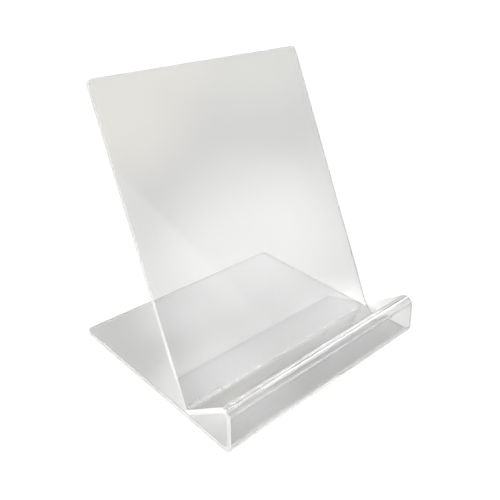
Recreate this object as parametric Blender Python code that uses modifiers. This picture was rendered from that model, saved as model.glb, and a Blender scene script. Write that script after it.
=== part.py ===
"""Photo album stand, made of one sheet of clear acrylic.

The stand is a rectangle of cast acrylic sheet with rounded corners, heat-bent along three
parallel lines. From its rear edge the sheet runs forward as the base, turns up into a low
front wall, folds back and down into the ledge that carries the album's lower edge, and
turns up again, just above the base, into the tall back panel that the album leans on.

Metres, +Z up, +Y towards the rear. The origin is on the table, under the middle of the base.
"""

import math

import bmesh
import bpy
from mathutils import Vector

# ---------------------------------------------------------------- driving dimensions, in metres
STAND_WIDTH = 0.200
SHEET_THICKNESS = 0.004
BASE_DEPTH = 0.175  # from the sharp corner at the front wall's foot to the base's rear edge
LIP_HEIGHT = 0.0394  # from the table to the sharp corner between the front wall and the ledge
PANEL_LENGTH = 0.232  # from the trough to the panel's top edge, along its front face
FRONT_BEND_RADIUS = 0.0036  # inside radii of the three bends
LIP_BEND_RADIUS = 0.0024
TROUGH_BEND_RADIUS = 0.0016
CORNER_RADIUS = 0.004  # the sheet's four corners, seen flat
ARRIS_WIDTH = 0.0003  # the broken sharp edge all round the sheet
TROUGH_CLEARANCE = 0.0003  # between the trough's underside and the base

# --------------------------------------------------------------------------- angles, in degrees
WALL_LEAN = 4.0  # of the front wall, back from upright
LEDGE_SLOPE = 36.6  # of the ledge, down towards the rear
PANEL_SLOPE = 63.6  # of the back panel, up from level

# ------------------------------------------------------------------------------- facets of arcs
BEND_STEP = 9.0  # degrees that each facet of a bend turns
CORNER_SEGMENTS = 6
ARRIS_SEGMENTS = 1

COLLECTION_NAME = "photo_album_stand"
SHEET_NAME = "bent_acrylic_sheet"


def heading(degrees):
    """A unit direction in the side view, as (y, z). 0 points to the rear and 90 points up."""
    return Vector((math.cos(math.radians(degrees)), math.sin(math.radians(degrees))))


def trough_corner_height():
    """Height of the sharp corner between ledge and panel that leaves the trough its clearance."""
    towards_ledge = heading(180.0 - LEDGE_SLOPE)
    towards_panel = heading(PANEL_SLOPE)
    middle = (towards_ledge + towards_panel).normalized()
    half_angle = towards_panel.angle(middle)
    arc_centre_rise = TROUGH_BEND_RADIUS / math.sin(half_angle) * middle.y
    underside = SHEET_THICKNESS + TROUGH_CLEARANCE
    return underside + SHEET_THICKNESS + TROUGH_BEND_RADIUS - arc_centre_rise


def face_corners():
    """Corners of the sheet's outer face in the side view, before its bends are rounded.

    They run from the base's rear edge, under the base, up the front wall, down the ledge and
    up the front of the panel. The outside of the two front bends and the inside of the trough
    lie on this face.
    """
    rear = Vector((BASE_DEPTH, 0.0))
    foot = Vector((0.0, 0.0))
    lip = foot + heading(90.0 - WALL_LEAN) * (LIP_HEIGHT / math.cos(math.radians(WALL_LEAN)))
    drop = lip.y - trough_corner_height()
    trough = lip + heading(-LEDGE_SLOPE) * (drop / math.sin(math.radians(LEDGE_SLOPE)))
    top = trough + heading(PANEL_SLOPE) * PANEL_LENGTH
    return [rear, foot, lip, trough, top]


def rounded_corner(before, corner, after, radius):
    """Points of the arc that replaces a sharp corner, from one tangent point to the other."""
    back = (before - corner).normalized()
    ahead = (after - corner).normalized()
    middle = (back + ahead).normalized()
    half_angle = ahead.angle(middle)
    centre = corner + middle * (radius / math.sin(half_angle))
    start = corner + back * (radius / math.tan(half_angle)) - centre
    end = corner + ahead * (radius / math.tan(half_angle)) - centre
    turn = start.angle(end)
    steps = max(4, math.ceil(math.degrees(turn) / BEND_STEP))
    arc = []
    for step in range(steps + 1):
        share = step / steps
        toward = start * math.sin((1.0 - share) * turn) + end * math.sin(share * turn)
        arc.append(centre + toward / math.sin(turn))
    return arc


def side_outline():
    """The outer face in the side view, with its three bends rounded."""
    rear, foot, lip, trough, top = face_corners()
    front_bend = rounded_corner(rear, foot, lip, FRONT_BEND_RADIUS + SHEET_THICKNESS)
    lip_bend = rounded_corner(foot, lip, trough, LIP_BEND_RADIUS + SHEET_THICKNESS)
    trough_bend = rounded_corner(lip, trough, top, TROUGH_BEND_RADIUS)
    return [rear, *front_bend, *lip_bend, *trough_bend, top]


def acrylic():
    """Clear cast acrylic: colourless, glossy and see-through."""
    material = bpy.data.materials.new("clear_cast_acrylic")
    material.use_nodes = True
    shader = material.node_tree.nodes["Principled BSDF"]
    shader.inputs["Base Color"].default_value = (0.80, 0.80, 0.79, 1.0)
    shader.inputs["Roughness"].default_value = 0.03
    shader.inputs["Metallic"].default_value = 0.0
    shader.inputs["IOR"].default_value = 1.49
    shader.inputs["Transmission Weight"].default_value = 1.0
    return material


def sheet_surface():
    """The outer face of the bent sheet: the side outline drawn across the stand's width."""
    surface = bmesh.new()
    left = -STAND_WIDTH / 2.0
    outline = side_outline()
    middle = (min(point.x for point in outline) + max(point.x for point in outline)) / 2.0
    points = [surface.verts.new((left, point.x - middle, point.y)) for point in outline]
    edges = [surface.edges.new(pair) for pair in zip(points, points[1:])]
    drawn = bmesh.ops.extrude_edge_only(surface, edges=edges)["geom"]
    far_points = [item for item in drawn if isinstance(item, bmesh.types.BMVert)]
    bmesh.ops.translate(surface, verts=far_points, vec=(STAND_WIDTH, 0.0, 0.0))
    bmesh.ops.recalc_face_normals(surface, faces=surface.faces)
    corners = [point for point in surface.verts if len(point.link_edges) == 2]
    bmesh.ops.bevel(
        surface,
        geom=corners,
        offset=CORNER_RADIUS,
        segments=CORNER_SEGMENTS,
        profile=0.5,
        affect="VERTICES",
    )
    return surface


def bent_sheet():
    """The whole stand: the outer face, thickened inwards, with its sharp edges broken."""
    surface = sheet_surface()
    underside = min(surface.faces, key=lambda face: face.calc_center_median().z)
    if underside.normal.z > 0.0:
        bmesh.ops.reverse_faces(surface, faces=surface.faces)
    mesh = bpy.data.meshes.new(SHEET_NAME)
    surface.to_mesh(mesh)
    surface.free()
    sheet = bpy.data.objects.new(SHEET_NAME, mesh)
    thickness = sheet.modifiers.new("sheet thickness", "SOLIDIFY")
    thickness.thickness = SHEET_THICKNESS
    thickness.offset = -1.0
    thickness.use_even_offset = True
    arris = sheet.modifiers.new("broken edges", "BEVEL")
    arris.width = ARRIS_WIDTH
    arris.segments = ARRIS_SEGMENTS
    arris.limit_method = "ANGLE"
    arris.angle_limit = math.radians(60.0)
    arris.use_clamp_overlap = False
    mesh.materials.append(acrylic())
    mesh.shade_smooth()
    mesh.set_sharp_from_angle(angle=math.radians(30.0))
    return sheet


def build():
    """Clears the scene and makes the stand in a collection of its own."""
    for item in list(bpy.data.objects):
        bpy.data.objects.remove(item, do_unlink=True)
    collection = bpy.data.collections.new(COLLECTION_NAME)
    bpy.context.scene.collection.children.link(collection)
    collection.objects.link(bent_sheet())


build()
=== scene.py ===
# %% [markdown]
# # A photo album stand bent from one acrylic sheet
#
# The real stand is one rectangle of clear cast acrylic (PMMA), cut to size with rounded corners
# and folded three times on a strip heater. It has no other pieces: no feet, no screws, no hinge.
# So this lesson builds one object, in the order in which the real one is made: first a flat strip,
# then a bend, then a flat again. What takes care is how clear plastic looks, because almost
# everything that the eye reads on it is the light of the room, bent or mirrored.
#
# The first cell loads the CAD model as a fixed frame. Its box gives the sheet its width and
# the place where the base begins.

import math

import bmesh
import bpy
from mathutils import Matrix, Vector


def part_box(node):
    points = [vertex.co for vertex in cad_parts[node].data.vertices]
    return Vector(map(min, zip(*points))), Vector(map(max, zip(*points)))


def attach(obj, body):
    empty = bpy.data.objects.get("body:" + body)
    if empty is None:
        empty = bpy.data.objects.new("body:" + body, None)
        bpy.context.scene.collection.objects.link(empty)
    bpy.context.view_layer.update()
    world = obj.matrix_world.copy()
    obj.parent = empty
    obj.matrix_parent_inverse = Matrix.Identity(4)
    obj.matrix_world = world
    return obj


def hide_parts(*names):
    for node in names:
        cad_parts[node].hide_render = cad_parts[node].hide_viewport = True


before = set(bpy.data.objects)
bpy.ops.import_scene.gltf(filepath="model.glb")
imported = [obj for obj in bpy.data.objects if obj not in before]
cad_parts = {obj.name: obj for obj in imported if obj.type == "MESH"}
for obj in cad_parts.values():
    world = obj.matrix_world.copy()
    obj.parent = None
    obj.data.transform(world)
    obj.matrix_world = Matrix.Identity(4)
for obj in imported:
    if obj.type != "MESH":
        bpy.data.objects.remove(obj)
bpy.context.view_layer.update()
CAD_NODE = "bent_acrylic_sheet"
sheet_low, sheet_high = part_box(CAD_NODE)

# %% [markdown]
# ## Camera
#
# The camera stands about half a metre away, a little above the stand and at its front left
# corner, so that the front wall, the cut ends and the base can all be read. It is turned by three
# angles in the order in which a tripod head has them: heading, tilt and a slight roll. It could be
# aimed with a Track To constraint instead, but that leaves no room for the roll. The small
# vertical shift slides the frame down over the base without tipping the uprights.

# %% Camera
CAMERA_PLACE = Vector((-0.3174, -0.3179, 0.3247))
CAMERA_HEADING = 44.34  # degrees from +Y towards +X
CAMERA_TILT = 23.57  # degrees below level
CAMERA_ROLL = 2.11
CAMERA_LENS = 47.3  # millimetres
SENSOR_WIDTH = 36.0  # millimetres
CAMERA_SHIFT = -0.12  # in widths of the frame
NEAREST_SEEN = 0.01

camera_data = bpy.data.cameras.new("product_camera")
camera_data.sensor_width = SENSOR_WIDTH
camera_data.lens = CAMERA_LENS
camera_data.shift_y = CAMERA_SHIFT
camera_data.clip_start = NEAREST_SEEN
camera = bpy.data.objects.new("product_camera", camera_data)
bpy.context.scene.collection.objects.link(camera)
camera.matrix_world = (
    Matrix.Translation(CAMERA_PLACE)
    @ Matrix.Rotation(math.radians(-CAMERA_HEADING), 4, "Z")
    @ Matrix.Rotation(math.radians(90.0 - CAMERA_TILT), 4, "X")
    @ Matrix.Rotation(math.radians(CAMERA_ROLL), 4, "Z")
)
bpy.context.scene.camera = camera
print("camera at", tuple(round(value, 3) for value in CAMERA_PLACE), "lens", CAMERA_LENS)

# %% [markdown]
# ## How bright, and how many bounces
#
# A white sweep is lit until it is just past white, so only what lies behind tinted plastic shows
# its shading. The Standard view keeps that white clean. Light that enters a cut edge is
# mirrored dozens of times between the sheet's two faces before it leaves at the other side, so
# Cycles gets more bounces than its usual four glossy ones. With too few the edges turn black.

# %% View and bounces
LIGHT_BOUNCES = 48

scene = bpy.context.scene
scene.view_settings.view_transform = "Standard"
scene.view_settings.look = "None"
scene.cycles.max_bounces = LIGHT_BOUNCES
scene.cycles.glossy_bounces = LIGHT_BOUNCES
scene.cycles.transmission_bounces = LIGHT_BOUNCES
scene.cycles.transparent_max_bounces = LIGHT_BOUNCES
print("view", scene.view_settings.view_transform, "bounces", LIGHT_BOUNCES)

# %% [markdown]
# ## Small helpers
#
# Colours are picked as hex values, which are sRGB, and one function turns them to the linear
# light that Blender's sockets want. One more function adds a node, sets it and links it. Most
# steps need their object alone and selected, and each modelling step selects by place.

# %% Helpers
MILLIMETRE = 0.001


def linear(hex_colour):
    """Linear red, green, blue and alpha from an sRGB hex colour such as '#E8E4DA'."""
    channels = [int(hex_colour[place : place + 2], 16) / 255.0 for place in (1, 3, 5)]
    light = [c / 12.92 if c <= 0.04045 else ((c + 0.055) / 1.055) ** 2.4 for c in channels]
    return (*light, 1.0)


def add_node(tree, kind, inputs=None, **settings):
    """Adds a node, sets its properties, and sets or links its inputs by name or number."""
    node = tree.nodes.new(kind)
    for name, value in settings.items():
        setattr(node, name, value)
    for name, value in (inputs or {}).items():
        if isinstance(value, bpy.types.NodeSocket):
            tree.links.new(value, node.inputs[name])
        else:
            node.inputs[name].default_value = value
    return node


def select_nothing():
    """Leaves edit mode and deselects every object, the CAD's included."""
    if bpy.context.mode != "OBJECT":
        bpy.ops.object.mode_set(mode="OBJECT")
    bpy.ops.object.select_all(action="DESELECT")


def fresh_material(name):
    """A new material with an empty node tree and its output node."""
    material = bpy.data.materials.new(name)
    material.use_nodes = True
    material.node_tree.nodes.clear()
    output = add_node(material.node_tree, "ShaderNodeOutputMaterial")
    return material, material.node_tree, output


WHITE = "#FFFFFF"
print("white in linear light", linear(WHITE))

# %% [markdown]
# ## Floor
#
# The stand lies on a sweep of matt white paper. A real one curves up behind the object, but the
# room is as bright as the paper here, so a flat disc that reaches past every view is enough. Matt
# paper scatters light evenly, which is what a Diffuse shader does. Its pulp is not quite even,
# and a very soft mottle a hand's width across stands for that.

# %% Floor
FLOOR_RADIUS = 6.0
FLOOR_SIDES = 96
AIR_FILM = 0.2 * MILLIMETRE  # under the base, so that its lower face keeps a gloss of its own
MOTTLE_SIZE = 167.0 * MILLIMETRE
PAPER_DARK, PAPER_LIGHT = "#EAEAEA", "#EEEEEE"
FIRST_COLOUR, SECOND_COLOUR, MIXED_COLOUR = 6, 7, 2  # a colour mix's sockets by number

select_nothing()
bpy.ops.mesh.primitive_circle_add(
    vertices=FLOOR_SIDES, radius=FLOOR_RADIUS, fill_type="NGON", location=(0.0, 0.0, -AIR_FILM)
)
bpy.ops.object.transform_apply(location=True)
floor = bpy.context.object
floor.name = "white_sweep"
paper, tree, output = fresh_material("matt_white_paper")
place = add_node(tree, "ShaderNodeTexCoord")
mottle = add_node(
    tree,
    "ShaderNodeTexNoise",
    {"Vector": place.outputs["Object"], "Scale": 1.0 / MOTTLE_SIZE, "Detail": 2.0},
)
shade = add_node(
    tree,
    "ShaderNodeMix",
    {
        "Factor": mottle.outputs["Fac"],
        FIRST_COLOUR: linear(PAPER_DARK),
        SECOND_COLOUR: linear(PAPER_LIGHT),
    },
    data_type="RGBA",
)
matt = add_node(tree, "ShaderNodeBsdfDiffuse", {"Color": shade.outputs[MIXED_COLOUR]})
tree.links.new(matt.outputs["BSDF"], output.inputs["Surface"])
floor.data.materials.append(paper)
print("floor", floor.name, "radius", FLOOR_RADIUS)

# %% [markdown]
# ## Room
#
# Clear plastic is drawn by what surrounds it. Around the horizon the room is a bright white band,
# so the sheet has light behind it from every side, and the ceiling is a bright soft dome. The
# wall between them is grey, and darker higher up, which gives the bends and cut edges their
# grey lines. A room of walls and cards could be modelled, but here the World shader draws it from
# the direction of a ray alone, which is faster and has no corners to show. The two helpers are a
# smooth step between two levels, and a direction named by its heading and its height.


# %% Steps and directions
def smooth_step(tree, value, low, high, before, after):
    """A smooth change from one level to another as a value passes from low to high."""
    step = add_node(
        tree,
        "ShaderNodeMapRange",
        {"Value": value, "From Min": low, "From Max": high, "To Min": before, "To Max": after},
        interpolation_type="SMOOTHSTEP",
    )
    return step.outputs["Result"]


def toward(heading_degrees, height_degrees):
    """A direction in the room: 0 is the front (-Y), 90 the right (+X), 180 the rear."""
    turn, rise = math.radians(heading_degrees), math.radians(height_degrees)
    return Vector(
        (math.sin(turn) * math.cos(rise), -math.cos(turn) * math.cos(rise), math.sin(rise))
    )


print("the front right is", tuple(round(value, 2) for value in toward(45.0, 0.0)))

# %% Walls and ceiling
# Heights of directions, 0 at the horizon and 1 overhead, between which the brightness changes.
BAND_TOP = 0.24
WALL_FROM = 0.32
SHADE_FROM = 0.46
SHADE_FULL = 0.54
SHADE_TO = 0.71
DOME_FROM = 0.79
BAND_LIGHT = 1.05  # just past white
WALL_LIGHT = 0.45
SHADE_LIGHT = -0.15  # added to the wall above the shade's height
DOME_LIGHT = 1.78  # added to both

world = bpy.data.worlds.new("white_room")
bpy.context.scene.world = world
world.use_nodes = True
tree = world.node_tree
tree.nodes.clear()
direction = add_node(tree, "ShaderNodeTexCoord").outputs["Generated"]
height = add_node(tree, "ShaderNodeSeparateXYZ", {"Vector": direction}).outputs["Z"]
levels = [
    (smooth_step(tree, height, BAND_TOP, WALL_FROM, BAND_LIGHT, WALL_LIGHT), WHITE),
    (smooth_step(tree, height, SHADE_FROM, SHADE_FULL, 0.0, SHADE_LIGHT), WHITE),
    (smooth_step(tree, height, SHADE_TO, DOME_FROM, 0.0, DOME_LIGHT), WHITE),
]
print("room bright below", BAND_TOP, "and dome above", DOME_FROM)

# %% [markdown]
# ## Pale papers in the room
#
# What the sheet mirrors is hung up in the room as soft round patches of bright paper. The
# leaning panel mirrors the front right: a white table edge, a bright window behind it, and a
# cream wall higher up. The base mirrors a large sheet of paper at the rear right. All of them
# are soft and pale, so what shows of them is a gentle change of grey along the sheet's faces.
# The table ends in a straight edge, so its patch is cut by a plane through the stand.

# %% Papers
# Each patch has a heading, a height, an inner and an outer angle in degrees, and a brightness.
PAPERS = {
    "table": (27.0, 14.0, 5.0, 17.0, 0.83, WHITE),
    "low_wall": (38.0, 6.0, 5.0, 15.0, 1.10, WHITE),
    "window": (40.0, 13.5, 1.0, 9.0, 1.25, WHITE),
    "cream_wall": (35.0, 31.0, 2.0, 11.0, 1.60, "#FFEFC0"),
    "cream_wall_right": (50.0, 28.0, 2.0, 9.0, 0.85, "#FFFBDC"),
    "rear_paper": (133.0, 28.0, 5.0, 15.0, 2.40, WHITE),
    "rear_paper_top": (138.0, 43.0, 3.0, 8.0, 0.90, WHITE),
}
TABLE_EDGE = Vector((0.758, 0.608, 0.235))  # square to the plane that cuts the table off
TABLE_EDGE_FROM, TABLE_EDGE_TO = -0.012, 0.004


def facing(tree, direction, axis):
    """How squarely a direction looks along an axis, as the cosine of the angle between them."""
    dot = add_node(tree, "ShaderNodeVectorMath", {0: direction, 1: axis}, operation="DOT_PRODUCT")
    return dot.outputs["Value"]


def paper_patch(tree, direction, axis, inner, outer, strength):
    """A round soft-edged patch of bright paper, by its inner and outer angle in degrees."""
    edge, middle = math.cos(math.radians(outer)), math.cos(math.radians(inner))
    return smooth_step(tree, facing(tree, direction, axis), edge, middle, 0.0, strength)


for name, (turn, rise, inner, outer, strength, colour) in PAPERS.items():
    patch = paper_patch(tree, direction, toward(turn, rise), inner, outer, strength)
    if name == "table":
        side = facing(tree, direction, TABLE_EDGE)
        kept = smooth_step(tree, side, TABLE_EDGE_FROM, TABLE_EDGE_TO, 1.0, 0.0)
        cut = add_node(tree, "ShaderNodeMath", {0: patch, 1: kept}, operation="MULTIPLY")
        patch = cut.outputs[0]
    levels.append((patch, colour))

total = None
for level, colour in levels:
    inputs = {0: linear(colour)[:3], "Scale": level}
    light = add_node(tree, "ShaderNodeVectorMath", inputs, operation="SCALE").outputs[0]
    if total is not None:
        inputs = {0: total, 1: light}
        light = add_node(tree, "ShaderNodeVectorMath", inputs, operation="ADD").outputs[0]
    total = light
sky = add_node(tree, "ShaderNodeBackground", {"Color": total})
add_node(tree, "ShaderNodeOutputWorld", {"Surface": sky.outputs["Background"]})
print("papers", list(PAPERS), "levels in the room", len(levels))

# %% [markdown]
# ## Lamps
#
# Three kinds of lamp do what the room can't. A long strip above the right side lays a thin white
# line along the rounded lip and trough. It is there for its mirror image only, so matt surfaces
# don't see it. A low, narrow light at the left skims along the sweep and shines squarely on the
# left cut edges, so that they stand out pale against the grey of the faces behind them. Seven
# small soft-edged spots point straight down and brighten the sweep under the ledge, the front
# wall and the base, where its light has two to four layers of plastic to come back through.
# The low light and the spots are hidden from mirror rays and from rays inside the plastic, so
# no bright dots show on the sheet. One large soft box over the stand would be simpler, but every
# flat face would mirror it as a white shape.

# %% Lamp helpers
SPOT_SOFTNESS = 30.0 * MILLIMETRE  # radius of a spot's bulb


def aim(item, place, target):
    """Puts a lamp at a place and turns its beam to a target."""
    beam = (Vector(target) - Vector(place)).normalized()
    turned = beam.to_track_quat("-Z", "Y").to_matrix().to_4x4()
    item.matrix_world = Matrix.Translation(Vector(place)) @ turned


def soft_box(name, place, target, size, radiance):
    """A white rectangular lamp that faces a point. radiance is how bright its face looks."""
    lamp = bpy.data.lights.new(name, "AREA")
    lamp.shape = "RECTANGLE"
    lamp.size, lamp.size_y = size
    lamp.energy = radiance * math.pi * size[0] * size[1]
    box = bpy.data.objects.new(name, lamp)
    bpy.context.scene.collection.objects.link(box)
    aim(box, place, target)
    return box


def spot_lamp(name, place, target, width, energy):
    """A soft-edged spot whose pool of light is about this wide on the floor."""
    lamp = bpy.data.lights.new(name, "SPOT")
    reach = (Vector(target) - Vector(place)).length
    lamp.spot_size = 2.0 * math.atan(width / 2.0 / reach)
    lamp.spot_blend = 1.0
    lamp.shadow_soft_size = SPOT_SOFTNESS
    lamp.energy = energy
    spot = bpy.data.objects.new(name, lamp)
    spot.visible_glossy = False
    spot.visible_transmission = False
    bpy.context.scene.collection.objects.link(spot)
    aim(spot, place, target)


print("spot bulbs", SPOT_SOFTNESS, "m in radius")

# %% Hang the lamps
STRIP_PLACE, STRIP_SIZE = (0.76, 0.08, 1.02), (0.08, 0.9)
STRIP_RADIANCE = 30.0
STAND_MIDDLE = (0.0, 0.0, 0.1)
EDGE_LIGHT_PLACE, EDGE_LIGHT_SIZE = (-1.2, 0.0, 0.03), (0.9, 0.04)
EDGE_LIGHT_TARGET = (0.0, 0.0, 0.03)
EDGE_LIGHT_RADIANCE = 55.0
SPOT_HEIGHT = 1.3
# Each pool of light on the sweep has a place (x, y), a width and its lamp's power in watts.
POOLS = {
    "ledge_spot_1": (-0.062, -0.030, 0.085, 64.0),
    "ledge_spot_2": (-0.012, -0.030, 0.085, 38.0),
    "ledge_spot_3": (0.038, -0.030, 0.085, 44.0),
    "ledge_spot_4": (0.088, -0.030, 0.085, 62.0),
    "wall_spot": (-0.060, -0.065, 0.060, 30.0),
    "base_spot_left": (-0.030, 0.050, 0.075, 28.0),
    "base_spot_right": (0.060, 0.055, 0.100, 16.0),
}

strip = soft_box("lip_strip", STRIP_PLACE, STAND_MIDDLE, STRIP_SIZE, STRIP_RADIANCE)
strip.visible_diffuse = False
edge_light = soft_box(
    "edge_light", EDGE_LIGHT_PLACE, EDGE_LIGHT_TARGET, EDGE_LIGHT_SIZE, EDGE_LIGHT_RADIANCE
)
edge_light.visible_camera = False
edge_light.visible_glossy = False
edge_light.visible_transmission = False
for name, (x, y, width, watts) in POOLS.items():
    spot_lamp(name, (x, y, SPOT_HEIGHT), (x, y, 0.0), width, watts)

# %% [markdown]
# ## The flat and bent lengths of the sheet
#
# The shop drawing of a bent sheet is a list of flats and bends. Each flat has a length and each
# bend an inside radius and an angle. The lengths are measured on the face that will be the
# underside of the base, the front of the wall, the top of the ledge and the front of the
# panel. A bend of radius R that turns by an angle uses up R times the tangent of half that
# angle at the end of both of its flats, so the flats are shortened by it.

# %% Bend list
SHEET_THICKNESS = 4.0 * MILLIMETRE
LIP_HEIGHT = 39.4 * MILLIMETRE  # from the table to the wall's sharp upper corner
WALL_LEAN = 4.0  # degrees back from upright
HEADINGS = {"base": 180.0, "wall": 90.0 - WALL_LEAN, "ledge": -36.6, "panel": 63.6}
CORNER_TO_CORNER = {
    "base": 175.0 * MILLIMETRE,
    "wall": LIP_HEIGHT / math.cos(math.radians(WALL_LEAN)),
    "panel": 232.0 * MILLIMETRE,
}
INSIDE_RADII = {
    "foot": 3.6 * MILLIMETRE,
    "lip": 2.4 * MILLIMETRE,
    "trough": 1.6 * MILLIMETRE,
}
TROUGH_CLEARANCE = 0.3 * MILLIMETRE  # air between the trough and the base


def heading(degrees):
    """A direction in the side view as (y, z). 0 points to the rear and 90 points up."""
    return Vector((math.cos(math.radians(degrees)), math.sin(math.radians(degrees))))


def ledge_length():
    """Corner-to-corner length of the ledge that stops the trough just above the base."""
    up_ledge = heading(HEADINGS["ledge"] + 180.0)
    up_panel = heading(HEADINGS["panel"])
    middle = (up_ledge + up_panel).normalized()
    radius = INSIDE_RADII["trough"]
    centre_rise = radius / math.sin(up_panel.angle(middle)) * middle.y
    corner = SHEET_THICKNESS + TROUGH_CLEARANCE + SHEET_THICKNESS + radius - centre_rise
    lip_height = CORNER_TO_CORNER["wall"] * heading(HEADINGS["wall"]).y
    return (lip_height - corner) / math.sin(math.radians(-HEADINGS["ledge"]))


CORNER_TO_CORNER["ledge"] = ledge_length()
FACE_RADII = {
    "foot": INSIDE_RADII["foot"] + SHEET_THICKNESS,
    "lip": INSIDE_RADII["lip"] + SHEET_THICKNESS,
    "trough": INSIDE_RADII["trough"],
}
TURNS = {
    "foot": HEADINGS["wall"] - HEADINGS["base"],
    "lip": HEADINGS["ledge"] - HEADINGS["wall"],
    "trough": HEADINGS["panel"] - HEADINGS["ledge"],
}
USED_UP = {
    bend: FACE_RADII[bend] * math.tan(math.radians(abs(TURNS[bend]) / 2.0)) for bend in TURNS
}
FLATS = {
    "base": CORNER_TO_CORNER["base"] - USED_UP["foot"],
    "wall": CORNER_TO_CORNER["wall"] - USED_UP["foot"] - USED_UP["lip"],
    "ledge": CORNER_TO_CORNER["ledge"] - USED_UP["lip"] - USED_UP["trough"],
    "panel": CORNER_TO_CORNER["panel"] - USED_UP["trough"],
}
for name, length in FLATS.items():
    print(f"{name}: {length / MILLIMETRE:.1f} mm flat")

# %% [markdown]
# ## Shaping the sheet
#
# A sheet like this could be drawn as a side profile and extruded across its width, or modelled
# with a curve and a bevel. Here it is folded the way the shop does it. A plane is the base, and
# then each flat is an Extrude of the leading edge and each bend is a Spin of it round the bend's
# axis. That keeps every arc true and gives even strips to shade. Spin counts its angle the
# other way round from a rotation about +X, so the turn is handed over with its sign changed.


# %% Selecting a row of edges
SAME_PLACE = 0.01 * MILLIMETRE


def select_edges(mesh, chosen):
    """In edit mode, selects just the edges whose two ends both pass a test on their place."""
    bpy.ops.mesh.select_mode(type="EDGE")
    bpy.ops.mesh.select_all(action="DESELECT")
    shape = bmesh.from_edit_mesh(mesh)
    for edge in shape.edges:
        edge.select_set(all(chosen(point.co) for point in edge.verts))
    bmesh.update_edit_mesh(mesh)


def on_row(row):
    """A test for points on one row across the sheet, given as (y, z)."""
    return lambda co: abs(co.y - row.x) < SAME_PLACE and abs(co.z - row.y) < SAME_PLACE


print("points closer than", SAME_PLACE, "m count as one place")

# %% Lay down the base
half_width = (sheet_high[0] - sheet_low[0]) / 2.0
pen = Vector((sheet_high[1], sheet_low[2]))
rows = [pen.copy()]  # the outline in the side view, from the base's rear edge to the panel's top

select_nothing()
bpy.ops.mesh.primitive_plane_add(
    size=1.0, location=(0.0, pen.x - FLATS["base"] / 2.0, pen.y)
)
sheet = bpy.context.object
sheet.name = "clear_acrylic_sheet"
bpy.ops.object.mode_set(mode="EDIT")
bpy.ops.mesh.select_all(action="SELECT")
bpy.ops.transform.resize(value=(2.0 * half_width, FLATS["base"], 1.0))
bpy.ops.object.mode_set(mode="OBJECT")
bpy.ops.object.transform_apply(location=True, rotation=True, scale=True)
bpy.ops.object.mode_set(mode="EDIT")
pen = pen + heading(HEADINGS["base"]) * FLATS["base"]
rows.append(pen.copy())
print("base laid from y", round(rows[0].x, 4), "to", round(pen.x, 4))

# %% Fold the wall, the ledge and the panel
BEND_STEPS = 32
FOLDS = (("base", "foot", "wall"), ("wall", "lip", "ledge"), ("ledge", "trough", "panel"))

for last_flat, bend, flat in FOLDS:
    before = HEADINGS[last_flat]
    side = math.copysign(90.0, TURNS[bend])
    centre = pen + heading(before + side) * FACE_RADII[bend]
    select_edges(sheet.data, on_row(pen))
    bpy.ops.mesh.spin(
        steps=BEND_STEPS,
        angle=-math.radians(TURNS[bend]),
        center=(0.0, centre.x, centre.y),
        axis=(1.0, 0.0, 0.0),
    )
    for step in range(1, BEND_STEPS + 1):
        reached = before - side + TURNS[bend] * step / BEND_STEPS
        rows.append(centre + heading(reached) * FACE_RADII[bend])
    pen = rows[-1].copy()
    ahead = heading(HEADINGS[flat]) * FLATS[flat]
    select_edges(sheet.data, on_row(pen))
    bpy.ops.mesh.extrude_region_move(TRANSFORM_OT_translate={"value": (0.0, ahead.x, ahead.y)})
    pen = pen + ahead
    rows.append(pen.copy())
    print(f"{bend} bend turns {TURNS[bend]:.1f} degrees, then {flat} to z {pen.y:.4f}")
bpy.ops.mesh.select_all(action="SELECT")
bpy.ops.mesh.normals_make_consistent(inside=False)
bpy.ops.object.mode_set(mode="OBJECT")
print("rows", len(rows), "faces", len(sheet.data.polygons))

# %% [markdown]
# ## Corners
#
# The blank's four corners are rounded on a sander before it is bent, so that nobody is scratched.
# A vertex bevel does the same here. It could also be done before folding, but Spin and Extrude
# want a plain straight edge to pull.

# %% Corners
CORNER_RADIUS = 4.0 * MILLIMETRE
CORNER_STEPS = 14

bpy.ops.object.mode_set(mode="EDIT")
bpy.ops.mesh.select_mode(type="VERT")
bpy.ops.mesh.select_all(action="DESELECT")
shape = bmesh.from_edit_mesh(sheet.data)
end_rows = (rows[0], rows[-1])
for point in shape.verts:
    at_side = abs(abs(point.co.x) - half_width) < SAME_PLACE
    point.select_set(at_side and any(on_row(row)(point.co) for row in end_rows))
bmesh.update_edit_mesh(sheet.data)
bpy.ops.mesh.bevel(
    offset=CORNER_RADIUS, segments=CORNER_STEPS, profile=0.5, affect="VERTICES"
)
bpy.ops.object.mode_set(mode="OBJECT")
print("faces after the corners", len(sheet.data.polygons))

# %% [markdown]
# ## Flat layout
#
# Ripples and bubbles lie along the bends, so their patterns need to know how far along the flat
# blank a point was. A UV map in metres holds that: U is the place across the width, and V the
# distance walked along the folded outline from the base's rear edge. Unwrap would also flatten
# the sheet, but not to a true scale.


# %% Flat layout
def along_sheet(co):
    """Distance along the sheet from the base's rear edge, as it lay before it was bent."""
    place = Vector((co.y, co.z))
    best, distance, walked = 1.0, 0.0, 0.0
    for start, end in zip(rows, rows[1:]):
        run = end - start
        share = min(max((place - start).dot(run) / run.length_squared, 0.0), 1.0)
        gap = (start + run * share - place).length
        if gap < best:
            best, distance = gap, walked + run.length * share
        walked += run.length
    return distance


layout = sheet.data.uv_layers.new(name="flat_layout")
for loop in sheet.data.loops:
    co = sheet.data.vertices[loop.vertex_index].co
    layout.data[loop.index].uv = (co.x, along_sheet(co))
blank_length = sum((end - start).length for start, end in zip(rows, rows[1:]))
print(f"flat blank {2.0 * half_width / MILLIMETRE:.0f} by {blank_length / MILLIMETRE:.0f} mm")

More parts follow.
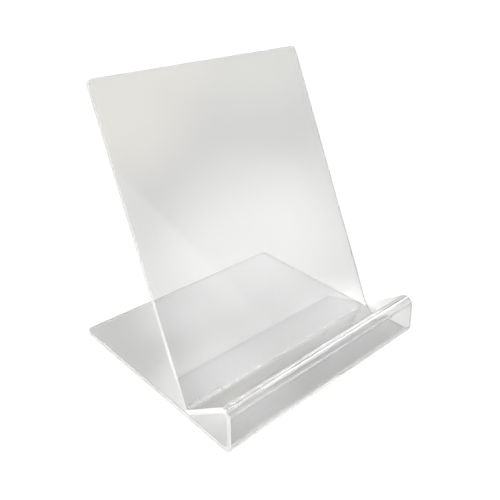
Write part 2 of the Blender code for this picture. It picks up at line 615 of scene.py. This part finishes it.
# %% [markdown]
# ## Thickness and broken edges
#
# Solidify gives the sheet its thickness, away from the measured face, and puts the narrow rim in
# a second material slot, because a cut edge never looks like the cast face. The maker breaks the
# sharp edges with a scraper, which leaves an arris of about a third of a millimetre. A Bevel
# modifier cuts it, only where faces meet at more than 60 degrees, so it skips the bends.

# %% Thickness and arris
ARRIS_WIDTH = 0.3 * MILLIMETRE
ARRIS_STEPS = 3
ARRIS_FROM_ANGLE = 60.0  # degrees between two faces
RIM_SLOT = 1  # the cut edge's material comes one slot after the cast face's

underside = min(sheet.data.polygons, key=lambda face: face.center.z)
if underside.normal.z > 0.0:
    sheet.data.flip_normals()
thicken = sheet.modifiers.new("sheet thickness", "SOLIDIFY")
thicken.thickness = SHEET_THICKNESS
thicken.offset = -1.0
thicken.use_even_offset = True
thicken.material_offset_rim = RIM_SLOT
arris = sheet.modifiers.new("broken edges", "BEVEL")
arris.width = ARRIS_WIDTH
arris.segments = ARRIS_STEPS
arris.limit_method = "ANGLE"
arris.angle_limit = math.radians(ARRIS_FROM_ANGLE)
arris.use_clamp_overlap = False
print("measured face looks down under the base:", underside.normal.z < 0.0)

# %% [markdown]
# ## Masks along the sheet
#
# Both kinds of flaw that the heater leaves need masks, which are numbers from 0 to 1 that say
# where. They could be painted as vertex colours, but a mask worked out from the flat layout has
# clean edges at any zoom. The bends' places on the blank follow from the bend list.


# %% Masks
def bend_places():
    """The middle of each bend along the flat blank, and half the length of its arc."""
    places, walked = [], FLATS["base"]
    for _, bend, flat in FOLDS:
        arc = FACE_RADII[bend] * math.radians(abs(TURNS[bend]))
        places.append((walked + arc / 2.0, arc / 2.0))
        walked += arc + FLATS[flat]
    return places


def strongest(tree, masks):
    """The largest of several masks."""
    largest = masks[0]
    for mask in masks[1:]:
        inputs = {0: largest, 1: mask}
        largest = add_node(tree, "ShaderNodeMath", inputs, operation="MAXIMUM").outputs[0]
    return largest


def overlap(tree, first, second):
    """The product of two masks, which is strong only where both of them are."""
    return add_node(
        tree, "ShaderNodeMath", {0: first, 1: second}, operation="MULTIPLY"
    ).outputs[0]


def between(tree, value, low, high, soft):
    """A mask that is 1 where a value lies between two others, with soft ends."""
    rise = smooth_step(tree, value, low - soft, low + soft, 0.0, 1.0)
    fall = smooth_step(tree, value, high - soft, high + soft, 1.0, 0.0)
    return overlap(tree, rise, fall)


BEND_PLACES = bend_places()
print("bends at", [round(middle / MILLIMETRE, 1) for middle, _ in BEND_PLACES], "mm")

# %% [markdown]
# ## What the heater leaves
#
# Where the strip heater has softened it, the surface keeps fine ripples along the bends. Near the
# left ends of the lip and the trough the heater was too hot, and the sheet has blistered into
# short rows of small round bubbles. A Voronoi pattern with little randomness puts them in uneven
# rows, and only where the masks allow. The bubbles would be thousands of faces as a mesh, and
# they are too small to change the sheet's outline.

# %% Ripples and bubbles
RIPPLE_SIZE = 2.22 * MILLIMETRE
RIPPLE_STRETCH = (0.15, 1.0, 1.0)  # drawn out across the width, along the bends
RIPPLE_FADE = 4.0 * MILLIMETRE  # how far they run out into the flats
BUBBLE_PITCH = 2.4 * MILLIMETRE
BUBBLE_ROW = 1.6 * MILLIMETRE  # half the width of a row
BUBBLE_ROW_SOFT = 0.2 * MILLIMETRE
BUBBLES_FROM = 2.0 * MILLIMETRE  # in from the left side
BUBBLES_TO = 34.0 * MILLIMETRE
BUBBLES_SOFT = 2.0 * MILLIMETRE
BUBBLE_CORE, BUBBLE_RIM = 0.12, 0.34  # radii, as shares of the pitch
BUBBLE_UNEVENNESS = 0.35


def near_bends(tree, along):
    """A mask that is 1 on the three bends and fades out a few millimetres past them."""
    masks = []
    for middle, half_arc in BEND_PLACES:
        offset = add_node(tree, "ShaderNodeMath", {0: along, 1: middle}, operation="SUBTRACT")
        gap = add_node(tree, "ShaderNodeMath", {0: offset.outputs[0]}, operation="ABSOLUTE")
        reach = half_arc + RIPPLE_FADE
        masks.append(smooth_step(tree, gap.outputs[0], half_arc, reach, 1.0, 0.0))
    return strongest(tree, masks)


def bend_ripples(tree, place, along):
    """Height of the ripples, which is 0 away from the bends."""
    stretched = add_node(
        tree, "ShaderNodeMapping", {"Vector": place, "Scale": RIPPLE_STRETCH}
    )
    ripples = add_node(
        tree,
        "ShaderNodeTexNoise",
        {"Vector": stretched.outputs["Vector"], "Scale": 1.0 / RIPPLE_SIZE, "Detail": 2.0},
    )
    return overlap(tree, ripples.outputs["Fac"], near_bends(tree, along))


def heater_bubbles(tree, flat_layout, across, along):
    """Rows of round dots near the left ends of the lip and the trough."""
    bubble_rows = strongest(
        tree,
        [
            between(tree, along, middle - BUBBLE_ROW, middle + BUBBLE_ROW, BUBBLE_ROW_SOFT)
            for middle, _ in BEND_PLACES[1:]
        ],
    )
    start, end = BUBBLES_FROM - half_width, BUBBLES_TO - half_width
    span = between(tree, across, start, end, BUBBLES_SOFT)
    dots = add_node(
        tree,
        "ShaderNodeTexVoronoi",
        {
            "Vector": flat_layout,
            "Scale": 1.0 / BUBBLE_PITCH,
            "Randomness": BUBBLE_UNEVENNESS,
        },
        voronoi_dimensions="2D",
    )
    dot = smooth_step(tree, dots.outputs["Distance"], BUBBLE_CORE, BUBBLE_RIM, 1.0, 0.0)
    return overlap(tree, dot, overlap(tree, bubble_rows, span))


print("bubbles every", round(BUBBLE_PITCH / MILLIMETRE, 1), "mm")

# %% [markdown]
# ## What use leaves
#
# Fingers leave smears, which blur the mirror image a little, so a large soft noise raises the
# roughness from 0 to 0.03. Acrylic charges up when it is wiped, and specks of dust cling to it. A
# Voronoi cell holds one speck at its middle, and a slower noise sets how big it is, so some
# places have many and others none.

# %% Smears and dust
SMEAR_SIZE = 35.7 * MILLIMETRE
SMEAR_FROM, SMEAR_TO = 0.45, 0.75  # levels of the noise where a smear starts and is thickest
SMEAR_ROUGHNESS = 0.03
DUST_PITCH = 8.33 * MILLIMETRE
DUST_CLUSTER = 16.7 * MILLIMETRE
DUST_FROM, DUST_TO = 0.55, 0.75  # levels of the noise where specks start and are largest
SPECK_RADIUS = 0.035  # of the largest, as a share of the pitch


def finger_smears(tree, place):
    """Roughness of the handled surface."""
    smears = add_node(
        tree,
        "ShaderNodeTexNoise",
        {"Vector": place, "Scale": 1.0 / SMEAR_SIZE, "Detail": 4.0, "Roughness": 0.6},
    )
    haze = add_node(
        tree,
        "ShaderNodeMapRange",
        {
            "Value": smears.outputs["Fac"],
            "From Min": SMEAR_FROM,
            "From Max": SMEAR_TO,
            "To Min": 0.0,
            "To Max": SMEAR_ROUGHNESS,
        },
    )
    return haze.outputs["Result"]


def dust(tree, place):
    """A mask of small specks of different sizes."""
    grains = add_node(
        tree,
        "ShaderNodeTexVoronoi",
        {"Vector": place, "Scale": 1.0 / DUST_PITCH, "Randomness": 1.0},
    )
    clusters = add_node(
        tree,
        "ShaderNodeTexNoise",
        {"Vector": place, "Scale": 1.0 / DUST_CLUSTER, "Detail": 1.0},
    )
    radius = add_node(
        tree,
        "ShaderNodeMapRange",
        {
            "Value": clusters.outputs["Fac"],
            "From Min": DUST_FROM,
            "From Max": DUST_TO,
            "To Min": 0.0,
            "To Max": SPECK_RADIUS,
        },
    )
    speck = add_node(
        tree,
        "ShaderNodeMath",
        {0: grains.outputs["Distance"], 1: radius.outputs["Result"]},
        operation="LESS_THAN",
    )
    return speck.outputs[0]


print("largest speck", round(2.0 * SPECK_RADIUS * DUST_PITCH / MILLIMETRE, 2), "mm across")

# %% [markdown]
# ## Clear cast acrylic
#
# Cast acrylic is poured between glass plates, so its faces are as smooth as glass. Its index of
# refraction is 1.49. It swallows almost no light, yet its colour here is a mid grey: painted
# shade that stands in for the darker surroundings seen through the clear sheet. A Glass shader
# could do the same, but Principled also lets the dust and the bubbles turn from clear to milky
# white through Transmission Weight.
#
# Lamp rays go straight through a Transparent stand-in, as real soft light nearly does, so that
# the sweep under the sheet is not left dark. Cycles would otherwise stop them at the sheet as if
# it were solid.

# %% Acrylic
ACRYLIC_IOR = 1.49
# painted shade: this grey stands in for the darker surroundings seen through the clear sheet
ACRYLIC_SHADE_GREY = "#D4D4D4"
LAMP_WAY_COLOUR = "#FBFBFB"
RIPPLE_STRENGTH, RIPPLE_HEIGHT = 0.05, 0.01 * MILLIMETRE
BUBBLE_HEIGHT = 0.6 * MILLIMETRE  # deeper than real ones, so that they show from half a metre
FLAW_CLEARNESS = 0.4


def let_light_through(tree, plastic, output):
    """Joins a plastic to the output, but lets lamp rays and scattered rays straight through."""
    lamp_way = add_node(tree, "ShaderNodeBsdfTransparent", {"Color": linear(LAMP_WAY_COLOUR)})
    rays = add_node(tree, "ShaderNodeLightPath").outputs
    passing = strongest(tree, [rays["Is Shadow Ray"], rays["Is Diffuse Ray"]])
    mixed = add_node(
        tree,
        "ShaderNodeMixShader",
        {0: passing, 1: plastic.outputs["BSDF"], 2: lamp_way.outputs["BSDF"]},
    )
    tree.links.new(mixed.outputs["Shader"], output.inputs["Surface"])


acrylic, tree, output = fresh_material("clear_cast_acrylic")
place = add_node(tree, "ShaderNodeTexCoord").outputs["Object"]
flat_layout = add_node(tree, "ShaderNodeUVMap", uv_map="flat_layout").outputs["UV"]
across_and_along = add_node(tree, "ShaderNodeSeparateXYZ", {"Vector": flat_layout}).outputs
across, along = across_and_along["X"], across_and_along["Y"]
bubbles = heater_bubbles(tree, flat_layout, across, along)
ripple_bump = add_node(
    tree,
    "ShaderNodeBump",
    {
        "Height": bend_ripples(tree, place, along),
        "Strength": RIPPLE_STRENGTH,
        "Distance": RIPPLE_HEIGHT,
    },
)
surface_bump = add_node(
    tree,
    "ShaderNodeBump",
    {
        "Height": bubbles,
        "Strength": 1.0,
        "Distance": BUBBLE_HEIGHT,
        "Normal": ripple_bump.outputs["Normal"],
    },
)
clearness = add_node(
    tree,
    "ShaderNodeMapRange",
    {
        "Value": strongest(tree, [dust(tree, place), bubbles]),
        "To Min": 1.0,
        "To Max": FLAW_CLEARNESS,
    },
)
plastic = add_node(
    tree,
    "ShaderNodeBsdfPrincipled",
    {
        "Base Color": linear(ACRYLIC_SHADE_GREY),
        "Roughness": finger_smears(tree, place),
        "IOR": ACRYLIC_IOR,
        "Transmission Weight": clearness.outputs["Result"],
        "Normal": surface_bump.outputs["Normal"],
    },
)
let_light_through(tree, plastic, output)
print("acrylic nodes", len(tree.nodes))

# %% [markdown]
# ## The cut edge
#
# The blank is sawn, and its edges are scraped and only lightly polished. Fine chatter marks stay
# across the edge, so it is silky and half frosted instead of clear. That half lets light out
# that has run through the whole sheet, which is why edges look paler than the faces.

# %% Cut edge
EDGE_COLOUR = "#D8D8D6"
EDGE_CLEARNESS = 0.6
EDGE_SMOOTHEST, EDGE_ROUGHEST = 0.2, 0.3
MARK_SIZE = 0.77 * MILLIMETRE
MARK_STRENGTH, MARK_HEIGHT = 0.1, 0.01 * MILLIMETRE

cut_edge, tree, output = fresh_material("lightly_polished_acrylic_edge")
flat_layout = add_node(tree, "ShaderNodeUVMap", uv_map="flat_layout")
marks = add_node(
    tree,
    "ShaderNodeTexNoise",
    {"Vector": flat_layout.outputs["UV"], "Scale": 1.0 / MARK_SIZE, "Detail": 1.0},
)
edge_bump = add_node(
    tree,
    "ShaderNodeBump",
    {
        "Height": marks.outputs["Fac"],
        "Strength": MARK_STRENGTH,
        "Distance": MARK_HEIGHT,
    },
)
scraped = add_node(
    tree,
    "ShaderNodeMapRange",
    {"Value": marks.outputs["Fac"], "To Min": EDGE_SMOOTHEST, "To Max": EDGE_ROUGHEST},
)
plastic = add_node(
    tree,
    "ShaderNodeBsdfPrincipled",
    {
        "Base Color": linear(EDGE_COLOUR),
        "Roughness": scraped.outputs["Result"],
        "IOR": ACRYLIC_IOR,
        "Transmission Weight": EDGE_CLEARNESS,
        "Normal": edge_bump.outputs["Normal"],
    },
)
let_light_through(tree, plastic, output)
print("edge nodes", len(tree.nodes))

# %% [markdown]
# ## Finish the mesh
#
# The modifiers are applied, so that the mesh is what it looks like. Smooth shading below 50
# degrees rounds the bends and keeps the arris crisp. Weighted normals then let each large face
# set the normals at its border, which keeps the flats optically flat right up to their bends.
# A last count makes sure that the sheet is closed, since glass with a hole in it renders wrong.

# %% Finish the mesh
SMOOTH_BELOW = 50.0  # degrees between two faces
FACE_WEIGHT = 100  # only the largest face counts
CUBIC_CENTIMETRE = 1e-6

sheet.data.materials.append(acrylic)
sheet.data.materials.append(cut_edge)
select_nothing()
sheet.select_set(True)
bpy.context.view_layer.objects.active = sheet
bpy.ops.object.modifier_apply(modifier=thicken.name)
bpy.ops.object.modifier_apply(modifier=arris.name)
bpy.ops.object.shade_smooth_by_angle(angle=math.radians(SMOOTH_BELOW))
even = sheet.modifiers.new("flat faces stay flat", "WEIGHTED_NORMAL")
even.mode = "FACE_AREA"
even.weight = FACE_WEIGHT
even.keep_sharp = True
bpy.ops.object.modifier_apply(modifier=even.name)
shape = bmesh.new()
shape.from_mesh(sheet.data)
open_edges = sum(1 for item in shape.edges if not item.is_manifold)
volume = shape.calc_volume() / CUBIC_CENTIMETRE
print("volume", round(volume, 2), "cm3, open edges", open_edges)
shape.free()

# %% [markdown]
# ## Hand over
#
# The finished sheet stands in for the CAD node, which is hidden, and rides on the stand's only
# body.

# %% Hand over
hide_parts(CAD_NODE)
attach(sheet, "root")
